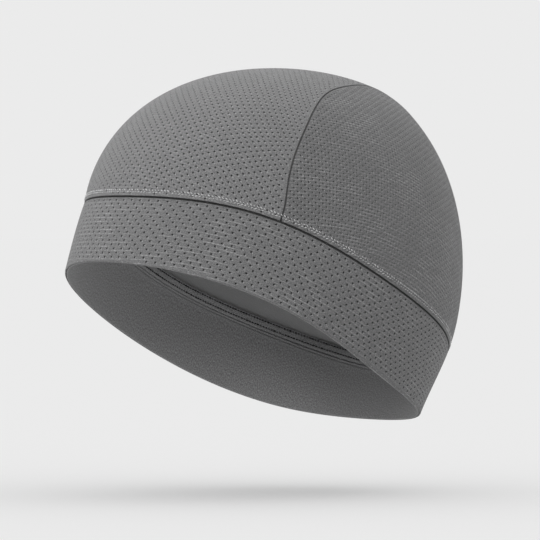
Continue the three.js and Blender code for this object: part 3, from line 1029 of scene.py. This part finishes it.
def perforated_knit(name, settings, pitch, phase, tone, lines, closing=NO_CLOSING):
    """Grey heather stretch knit with painted glints by its eyelets and along its courses, and a smooth back.

    lines says how strong the painted glints along the courses are. closing says from where to where along the rows
    the eyelets draw shut, and how much of the painted shade in their floors stays.
    """
    column, row = pitch
    f = Finish(name)
    place, u, v = f.flat()
    # Where in the eyelet lattice: across the rows, and along the row from the nearest eyelet, in millimetres.
    rows = f.math("MULTIPLY_ADD", v, 1 / row, -phase[1] / row)
    near = f.math("ROUND", rows)
    across = f.times(f.math("SUBTRACT", rows, near), row)
    shifted = f.times(f.math("FLOORED_MODULO", near, 2.0), -0.5)
    cells = f.math("ADD", f.math("MULTIPLY_ADD", u, 1 / column, -phase[0] / column), shifted)
    along = f.times(f.math("SUBTRACT", cells, f.math("ROUND", cells)), column)
    knit = f.times(f.wave(u, KNIT_LOOP[0]), f.wave(v, KNIT_LOOP[1]))
    grain = f.noise(place, (1.7, 2.3), detail=4.0, roughness=0.8)
    flecks = f.noise(place, (2.0, 4.4), roughness=0.7)
    melange = f.noise(place, (0.16, 2.2), detail=3.0, roughness=0.6)
    patches = f.noise(place, (0.03, 0.05))
    # A painted glint beside and below each eyelet, as an oval of its own size.
    (aside, wide), (below, high) = EYELET_GLINT
    aside = f.math("MULTIPLY_ADD", along, 1 / wide, -aside / wide)
    below = f.math("MULTIPLY_ADD", across, 1 / high, below / high)
    off = f.math("ADD", f.times(aside, aside), f.times(below, below))
    stitch = f.times(f.graded(off, 0.3, 1.3, 1.0, 0.0), f.graded(flecks, 0.42, 0.66))
    # Broken lines of painted glint along the courses, between the eyelet rows.
    course_glint = f.graded(f.math("ABSOLUTE", across), row * 0.5 - 0.22, row * 0.5 - 0.06)
    dashed = f.graded(f.noise(place, (0.085, 1.3), detail=4.0, roughness=0.8), 0.42, 0.58)
    dashed = f.times(dashed, f.graded(f.wave(u, column / 2), 0.1, 0.8, 0.45, 1.0))
    course_glint = f.times(course_glint, f.times(dashed, f.graded(patches, 0.38, 0.60, lines * 0.35, lines)))
    base = f.mixed(f.graded(grain, 0.39, 0.61), settings.knit_dark, settings.knit_middle)
    for share, colour in (
        (f.times(f.graded(melange, 0.50, 0.70), 0.30), settings.knit_light),
        (f.times(f.graded(flecks, 0.55, 0.68), 0.80), settings.knit_light),
        (f.times(course_glint, 0.62), settings.knit_bright),
        (f.times(stitch, 0.68), settings.knit_bright),
    ):
        base = f.mixed(share, base, colour)
    # The panel's lightness; the side panels' lower one is painted shade.
    base = f.mixed(1.0, base, (tone, tone, tone), blend_type="MULTIPLY")
    # Painted shade in the grooves at the sewn edges.
    base = f.mixed(f.graded(f.read("seam_shade"), 0.0, 1.0), base, SEAM_SHADE)
    # Painted shade in the eyelets' floors, fading along the side panels where their eyelets draw shut.
    pit = f.times(f.graded(f.read("eyelet_floor"), 0.0, 0.6), f.graded(u, closing[0], closing[1], 0.96, closing[2]))
    base = f.mixed(pit, base, EYELET_SHADE)
    # The back, painted lighter than the front as light inside the crown.
    back = f.mixed(f.graded(grain, 0.3, 0.7), BACK_DARK, BACK_LIGHT)
    base = f.mixed(f.graded(f.read("cloth_back"), 0.4, 0.6), base, back)
    f.set(0.2, base_color=base, roughness=0.8, sheen_weight=0.12, sheen_roughness=0.5)
    height = f.math("MULTIPLY_ADD", knit, 0.6, grain)
    f.bump(f.math("MULTIPLY_ADD", course_glint, 0.5, height), 0.75, 0.0002)
    return f.material


def smooth_knit(name, dark, light, rib, grooves=()):
    """Fine plain knit with close ribs, for the inside of the band, with painted shade in narrow grooves."""
    f = Finish(name)
    place, u, v = f.flat()
    ribs = f.wave(u, rib)
    grain = f.noise(place, (2.2, 1.5), detail=3.0, roughness=0.7)
    base = f.mixed(f.graded(grain, 0.36, 0.66), dark, light)
    # Painted shade in the needle rows' grooves.
    for at in grooves:
        far = f.math("ABSOLUTE", f.math("SUBTRACT", v, at))
        base = f.mixed(f.graded(far, 0.0, GROOVE_REACH, 0.15, 0.0), base, SEAM_SHADE)
    f.set(0.2, base_color=base, roughness=0.85, sheen_weight=0.2, sheen_roughness=0.5)
    f.bump(f.math("ADD", f.times(ribs, 0.7), f.times(grain, 0.7)), 0.5, 0.00015)
    return f.material


def thread_finish(name, colour, shine=1.0):
    """Twisted polyester thread with a soft shine, or with a share of it where it is worn dull."""
    f = Finish(name)
    ply = f.noise(f.add("ShaderNodeTexCoord").outputs["Object"], scale=2600.0, roughness=0.6)
    base = f.mixed(f.graded(ply, 0.3, 0.7), tuple(c * 0.7 for c in colour), colour)
    f.set(0.5 * shine, base_color=base, roughness=0.8 - 0.3 * shine, sheen_weight=0.15 * shine)
    f.bump(ply, 0.4, 0.00008)
    return f.material


def paper_finish(name, level, glow):
    """Seamless pale studio paper, evened out by a little light of its own."""
    f = Finish(name)
    tooth = f.noise(f.add("ShaderNodeTexCoord").outputs["Object"], scale=220.0)
    base = f.mixed(tooth, (level * 0.995,) * 3, (level,) * 3)
    f.set(0.0, base_color=base, roughness=0.95, emission_color=(1.0,) * 4, emission_strength=glow)
    return f.material


# Settings of the operators.


def length(name, description, default, low=-10.0, high=10.0):
    return bpy.props.FloatProperty(
        name=name, description=description, default=default, min=low, max=high, subtype="DISTANCE", unit="LENGTH"
    )


def share(name, description, default, low=0.0, high=1.0):
    return bpy.props.FloatProperty(
        name=name, description=description, default=default, min=low, max=high, subtype="FACTOR"
    )


def angle(name, description, degrees, low=-math.pi, high=math.pi):
    return bpy.props.FloatProperty(
        name=name, description=description, default=math.radians(degrees), min=low, max=high, subtype="ANGLE",
        unit="ROTATION",
    )


def colour(name, description, *default):
    return bpy.props.FloatVectorProperty(
        name=name, description=description, default=default, min=0.0, max=1.0, subtype="COLOR"
    )


class LinerClothSettings(bpy.types.PropertyGroup):
    wall: length("Wall", "Thickness of the cloth", 0.0006, 0.0003, 0.003)
    centre_column: length("Centre Column", "Step of the eyelets along a row of the centre panel", 0.00435, 0.0012, 0.01)
    centre_row: length("Centre Row", "Step between eyelet rows of the centre panel", 0.00176, 0.0012, 0.01)
    side_column: length("Side Column", "Step of the eyelets along a row of a side panel", 0.0037, 0.0012, 0.01)
    side_row: length("Side Row", "Step between eyelet rows of a side panel", 0.00165, 0.0012, 0.01)
    band_column: length("Band Column", "Step of the eyelets along a row of the band", 0.0048, 0.0012, 0.01)
    band_row: length("Band Row", "Step between eyelet rows of the band", 0.0021, 0.0012, 0.01)
    eyelet_lip: length("Eyelet Lip", "Width of the dimple round an eyelet", 0.0012, 0.0008, 0.0018)
    eyelet_share: share("Eyelet Share", "Width of an eyelet as a share of its dimple", 0.78, 0.3, 0.95)
    dimple_depth: length("Dimple Depth", "How far the cloth sinks at an eyelet", 0.00007, 0.0, 0.0005)
    eyelet_depth: length("Eyelet Depth", "Depth of an eyelet below its dimple", 0.00034, 0.0, 0.0006)
    seam_roll: length("Seam Roll", "Radius of the cloth rolling in at a seam", 0.00075, 0.0007, 0.003)
    seam_roll_angle: angle("Seam Roll Angle", "How far the cloth turns in at a seam", 78, 0.2, 1.5)
    seam_gap: length("Seam Gap", "Cloth kept back from the middle of a seam", 0.00002, 0.00001, 0.001)
    slack: share("Slack", "Cut size as a share of the stretched size", 0.93, 0.7)
    knit_dark: colour("Knit Dark", "Colour in the hollows of the knit", 0.070, 0.070, 0.071)
    knit_middle: colour("Knit Middle", "Main colour of the knit", 0.200, 0.200, 0.202)
    knit_light: colour("Knit Light", "Colour of the lighter yarn in the heather", 0.32, 0.32, 0.322)
    # The painted glints on the courses and by the eyelets take this colour.
    knit_bright: colour("Knit Bright", "Colour of the glints on courses and eyelet stitches", 0.62, 0.62, 0.625)
    centre_tone: share("Centre Tone", "Lightness of the centre panel's knit", 0.98)
    # Darker as painted shade: cut along another grain, the side panels' knit takes the light differently.
    side_tone: share("Side Tone", "Lightness of the side panels' knit", 0.81)
    band_tone: share("Band Tone", "Lightness of the band's outer knit", 0.9)


class LinerStitchSettings(bpy.types.PropertyGroup):
    top_pitch: length("Topstitch Pitch", "Step of the topstitching", 0.0017, 0.001, 0.006)
    top_rise: length("Topstitch Rise", "Height of the lower topstitch row above the band seam", 0.0022, 0.002, 0.01)
    top_spread: length("Topstitch Spread", "Distance between the two topstitch rows", 0.0011, 0.0006, 0.006)
    needle_pitch: length("Needle Pitch", "Step of the needle stitches inside", 0.0015, 0.001, 0.006)
    thread: length("Thread", "Thickness of the thread", 0.00032, 0.0001, 0.001)
    top_colour: colour("Topstitch Colour", "Colour of the topstitching thread", 0.55, 0.55, 0.555)
    needle_colour: colour("Needle Colour", "Colour of the needle thread inside", 0.018, 0.018, 0.018)
    looper_colour: colour("Looper Colour", "Colour of the looper thread inside", 0.24, 0.24, 0.242)


class LinerStudioSettings(bpy.types.PropertyGroup):
    azimuth: angle("Azimuth", "Camera's way round the cap from its brow", 47.2)
    distance: length("Distance", "Camera's distance from the cap", 2.48, 0.3)
    lens: bpy.props.FloatProperty(name="Lens", description="Focal length in millimetres", default=337.3, min=10.0)
    aim_left: length("Aim Left", "How far left of the cap the camera aims", 0.0095)
    aim_below: length("Aim Below", "How far below the cap's middle the camera aims", 0.0261)
    floor_drop: length("Floor Drop", "Floor below the cap's middle", 0.135)


# Operators, one for each piece or group of like pieces, and one for the studio.


def put_on_frame(piece, nodes):
    """The piece takes the place of its frame nodes and goes with the cap's one body."""
    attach(piece, "root")
    if nodes:
        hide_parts(*nodes)
    return piece


def dressed(piece, frame_node, settings, material):
    """Grows a cloth's eyelets and back and puts it on the frame."""
    values = {
        "Wall": settings.wall,
        "Eyelet Share": settings.eyelet_share,
        "Dimple Depth": settings.dimple_depth,
        "Eyelet Depth": settings.eyelet_depth,
        "Material": material,
    }
    closed_and_outward(made_real(piece, tree_named("perforated_cloth", cloth_tree), values))
    put_on_frame(piece, [frame_node])


class LINERCAP_OT_crown(bpy.types.Operator):
    """Makes the three perforated panels of the crown"""

    bl_idname = "liner_cap.crown"
    bl_label = "Crown Panels"

    def execute(self, context):
        settings = context.scene.liner_cloth
        pitch = (settings.centre_column / MM, settings.centre_row / MM)
        centre = CrownPanel(centre_disc, *CENTRE_GRID, -1, False)
        # A column of eyelets runs down the middle.
        middle = float(centre.loop[:, 0].min() + centre.loop[:, 0].max()) / 2
        self.panel("centre", centre, pitch, (middle, 0.9), 1.0, (settings.centre_tone, CENTRE_LINES, NO_CLOSING))
        pitch = (settings.side_column / MM, settings.side_row / MM)
        look = (settings.side_tone, SIDE_LINES, SIDE_CLOSING)
        for side, hand, phase in (("left", 1, (1.1, 0.4)), ("right", -1, (0.3, 1.2))):
            panel = CrownPanel(lambda s, t, hand=hand: side_disc(hand, s, t), *SIDE_GRID, 0, True)
            self.panel(side, panel, pitch, phase, SIDE_LIP, look)
        return {"FINISHED"}

    def panel(self, side, cloth, pitch, phase, width, look):
        settings, name = bpy.context.scene.liner_cloth, f"perforated_crown_{side}"
        lip = settings.eyelet_lip * width / MM / 2
        piece, outline = crown_cloth(name, cloth, settings, pitch, phase, lip, look[2])
        knit = perforated_knit(f"{name}_knit", settings, pitch, phase, *look)
        dressed(piece, f"crown_{side}_panel", settings, knit)


class LINERCAP_OT_band(bpy.types.Operator):
    """Makes the perforated outer cloth of the band"""

    bl_idname = "liner_cap.band"
    bl_label = "Brow Band"

    def execute(self, context):
        settings = context.scene.liner_cloth
        cloth = BandCloth()
        # A whole number of eyelets goes round, so that the lattice meets itself at the nape.
        pitch = (cloth.length / round(cloth.length / (settings.band_column / MM)), settings.band_row / MM)
        phase = (pitch[0] * 0.25, -1.9)
        piece, outline = band_cloth("perforated_brow_band", cloth, settings, pitch, phase)
        drop_loose(piece)
        knit = perforated_knit("brow_band_knit", settings, pitch, phase, settings.band_tone, BAND_LINES)
        dressed(piece, "brow_band", settings, knit)
        return {"FINISHED"}


class LINERCAP_OT_inside(bpy.types.Operator):
    """Makes the band's lining and the seam allowance above it"""

    bl_idname = "liner_cap.inside"
    bl_label = "Band Lining and Seam Allowance"

    def execute(self, context):
        seam, slack = BandSeam(), context.scene.liner_cloth.slack
        rows = [seam.below(*row) for row in LINING_SECTION]
        knit = smooth_knit("band_lining_knit", (0.115, 0.115, 0.116), (0.28, 0.28, 0.283), rib=0.7)
        lining = ring_object("smooth_band_lining", rows, knit, "band_lining")
        rows = [seam.above(*row)[0] for row in ALLOWANCE_SECTION]
        steps = run_along(np.array(ALLOWANCE_SECTION))
        grooves = [float(steps[ALLOWANCE_SECTION.index(place)]) for place in ALLOWANCE_GROOVES]
        knit = smooth_knit("seam_allowance_knit", (0.15, 0.15, 0.152), (0.33, 0.33, 0.333), rib=1.05, grooves=grooves)
        allowance = ring_object("folded_seam_allowance", rows, knit, "band_seam_allowance")
        return {"FINISHED"}


class LINERCAP_OT_topstitch(bpy.types.Operator):
    """Lays the two staggered rows of topstitching above the band seam"""

    bl_idname = "liner_cap.topstitch"
    bl_label = "Topstitching"

    def execute(self, context):
        settings = context.scene.liner_stitches
        seam = BandSeam()
        radius, pitch = settings.thread / MM / 2, settings.top_pitch / MM
        rows, shapes = [], []
        for k, hand in enumerate((1, -1)):
            line = [(x, y * hand, z) for x, y, z in TOPSTITCH_LINE]
            shapes.append(thread_shape(f"topstitch_{k}", line, [radius * width for width in TOPSTITCH_WIDTHS]))
            points, normal = seam.above(settings.top_rise / MM + k * settings.top_spread / MM)
            turn = round(len(points) * k / 2 / round(path_length(points) / pitch))
            rows.append((np.roll(points, turn, axis=0), np.roll(normal, turn, axis=0)))
        finish = thread_finish("topstitch_thread", settings.top_colour)
        stitched("band_seam_topstitch", rows, shapes, pitch, uneven=0.45, seed=11, material=finish)
        return {"FINISHED"}


class LINERCAP_OT_inner_stitches(bpy.types.Operator):
    """Lays the needle rows and the looper web on the inside of the band seam"""

    bl_idname = "liner_cap.inner_stitches"
    bl_label = "Inner Seam Stitches"

    def execute(self, context):
        settings = context.scene.liner_stitches
        seam = BandSeam()
        radius, pitch = settings.thread / MM / 2 * INNER_THREAD, settings.needle_pitch / MM

        def inner_row(rise, depth):
            points, normal = seam.above(rise, depth)
            return points[::-1], -normal[::-1]

        needle = thread_shape("needle_stitch", NEEDLE_LINE, [radius * width for width in NEEDLE_WIDTHS])
        rows = [inner_row(*place) for place in NEEDLE_ROWS]
        finish = thread_finish("needle_thread", settings.needle_colour, 0.1)
        stitched("inner_needle_rows", rows, [needle] * 2, pitch, uneven=0.2, seed=21, material=finish)
        looper = thread_shape("looper_thread", LOOPER_LINE, [radius * width for width in LOOPER_WIDTHS], sides=5)
        finish = thread_finish("looper_thread", settings.looper_colour)
        rows = [inner_row(*LOOPER_ROW)]
        stitched("inner_looper_web", rows, [looper], pitch, uneven=0.3, seed=31, material=finish)
        return {"FINISHED"}


class LINERCAP_OT_studio(bpy.types.Operator):
    """Sets up the pale paper sweep, the soft lights and the camera"""

    bl_idname = "liner_cap.studio"
    bl_label = "Studio"

    def execute(self, context):
        settings, scene = context.scene.liner_studio, context.scene
        pivot = Vector(placed(np.array([CAP_MIDDLE]))[0])
        turn = settings.azimuth
        toward = Vector((math.sin(turn), -math.cos(turn), 0.0))
        right = Vector((math.cos(turn), math.sin(turn), 0.0))
        lens = bpy.data.cameras.new("photo_camera")
        lens.lens, lens.sensor_width, lens.clip_end = settings.lens, 36.0, 60.0
        aim = pivot - right * settings.aim_left - Vector((0, 0, settings.aim_below))
        scene.camera = self.aimed("photo_camera", lens, pivot + toward * settings.distance, aim)
        self.sweep(pivot, settings.floor_drop)
        self.lights(pivot, toward, right)
        world = bpy.data.worlds.new("studio_air")
        world.use_nodes = True
        background = world.node_tree.nodes["Background"]
        background.inputs[0].default_value = (1.0, 1.0, 1.0, 1.0)
        background.inputs[1].default_value = STUDIO_LEVEL
        scene.world = world
        scene.view_settings.view_transform = "Standard"
        return {"FINISHED"}

    def aimed(self, name, data, place, aim):
        """A camera or light at a place, turned toward what it aims at."""
        piece = bpy.data.objects.new(name, data)
        bpy.context.scene.collection.objects.link(piece)
        piece.location = place
        piece.rotation_euler = (aim - piece.location).to_track_quat("-Z", "Y").to_euler()
        return piece

    def sweep(self, pivot, drop):
        """Pale paper floor as bright as the air round it, so that only the cap's soft shadow shows."""
        turns = np.arange(96) / 96 * 2 * np.pi
        ring = np.column_stack([np.cos(turns), np.sin(turns), 0 * turns]) * FLOOR_RADIUS + pivot - Vector((0, 0, drop))
        piece = mesh_piece("paper_floor", ring, faces=[list(range(96))])
        piece.data.materials.append(paper_finish("pale_paper", PAPER_LEVEL, STUDIO_LEVEL * (1 - PAPER_LEVEL)))
        piece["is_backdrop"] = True

    def lights(self, pivot, toward, right):
        """Soft boxes that light the cap alone, so that the paper stays even, and one for its inside.

        Only the cap shades them, so the inside can be lit from below the paper.
        """
        lit, within = bpy.data.collections.new("lit_pieces"), bpy.data.collections.new("lit_inside")
        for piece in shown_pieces():
            lit.objects.link(piece)
            if piece.name.startswith(("smooth_", "folded_", "inner_")):
                within.objects.link(piece)
        table = (
            # name, along right, up, toward camera, width, height, watts, what it lights
            ("key_softbox", -1.2, 0.75, 1.3, 0.8, 0.8, 19.0, lit),
            ("inside_softbox", 1.4, -1.0, 1.1, 0.8, 0.8, 10.0, within),
            ("top_softbox", -0.5, 1.5, -0.7, 1.2, 0.6, 9.0, lit),
            ("edge_softbox", 1.4, 1.2, -0.6, 0.4, 1.0, 4.5, lit),
        )
        for name, aside, above, front, width, height, watts, receivers in table:
            light = bpy.data.lights.new(name, "AREA")
            light.shape = "RECTANGLE"
            light.size, light.size_y, light.energy = width, height, watts
            place = pivot + right * aside + Vector((0, 0, above)) + toward * front
            piece = self.aimed(name, light, place, pivot)
            piece.light_linking.receiver_collection = receivers
            piece.light_linking.blocker_collection = lit


class LINERCAP_PT_sidebar(bpy.types.Panel):
    bl_idname = "LINERCAP_PT_sidebar"
    bl_label = "Liner Cap"
    bl_space_type = "VIEW_3D"
    bl_region_type = "UI"
    bl_category = "Liner Cap"

    def draw(self, context):
        groups = (
            (context.scene.liner_cloth, (LINERCAP_OT_crown, LINERCAP_OT_band, LINERCAP_OT_inside)),
            (context.scene.liner_stitches, (LINERCAP_OT_topstitch, LINERCAP_OT_inner_stitches)),
            (context.scene.liner_studio, (LINERCAP_OT_studio,)),
        )
        for settings, operators in groups:
            box = self.layout.box()
            for key in settings.__annotations__:
                box.prop(settings, key)
            for operator in operators:
                box.operator(operator.bl_idname)


CLASSES = (
    LinerClothSettings,
    LinerStitchSettings,
    LinerStudioSettings,
    LINERCAP_OT_crown,
    LINERCAP_OT_band,
    LINERCAP_OT_inside,
    LINERCAP_OT_topstitch,
    LINERCAP_OT_inner_stitches,
    LINERCAP_OT_studio,
    LINERCAP_PT_sidebar,
)


def register():
    for each in CLASSES:
        bpy.utils.register_class(each)
    bpy.types.Scene.liner_cloth = bpy.props.PointerProperty(type=LinerClothSettings)
    bpy.types.Scene.liner_stitches = bpy.props.PointerProperty(type=LinerStitchSettings)
    bpy.types.Scene.liner_studio = bpy.props.PointerProperty(type=LinerStudioSettings)


def unregister():
    for key in ("liner_cloth", "liner_stitches", "liner_studio"):
        delattr(bpy.types.Scene, key)
    for each in reversed(CLASSES):
        bpy.utils.unregister_class(each)


def main():
    register()
    bpy.ops.liner_cap.crown()
    bpy.ops.liner_cap.band()
    bpy.ops.liner_cap.inside()
    bpy.ops.liner_cap.topstitch()
    bpy.ops.liner_cap.inner_stitches()
    bpy.ops.liner_cap.studio()


if __name__ == "__main__":
    main()
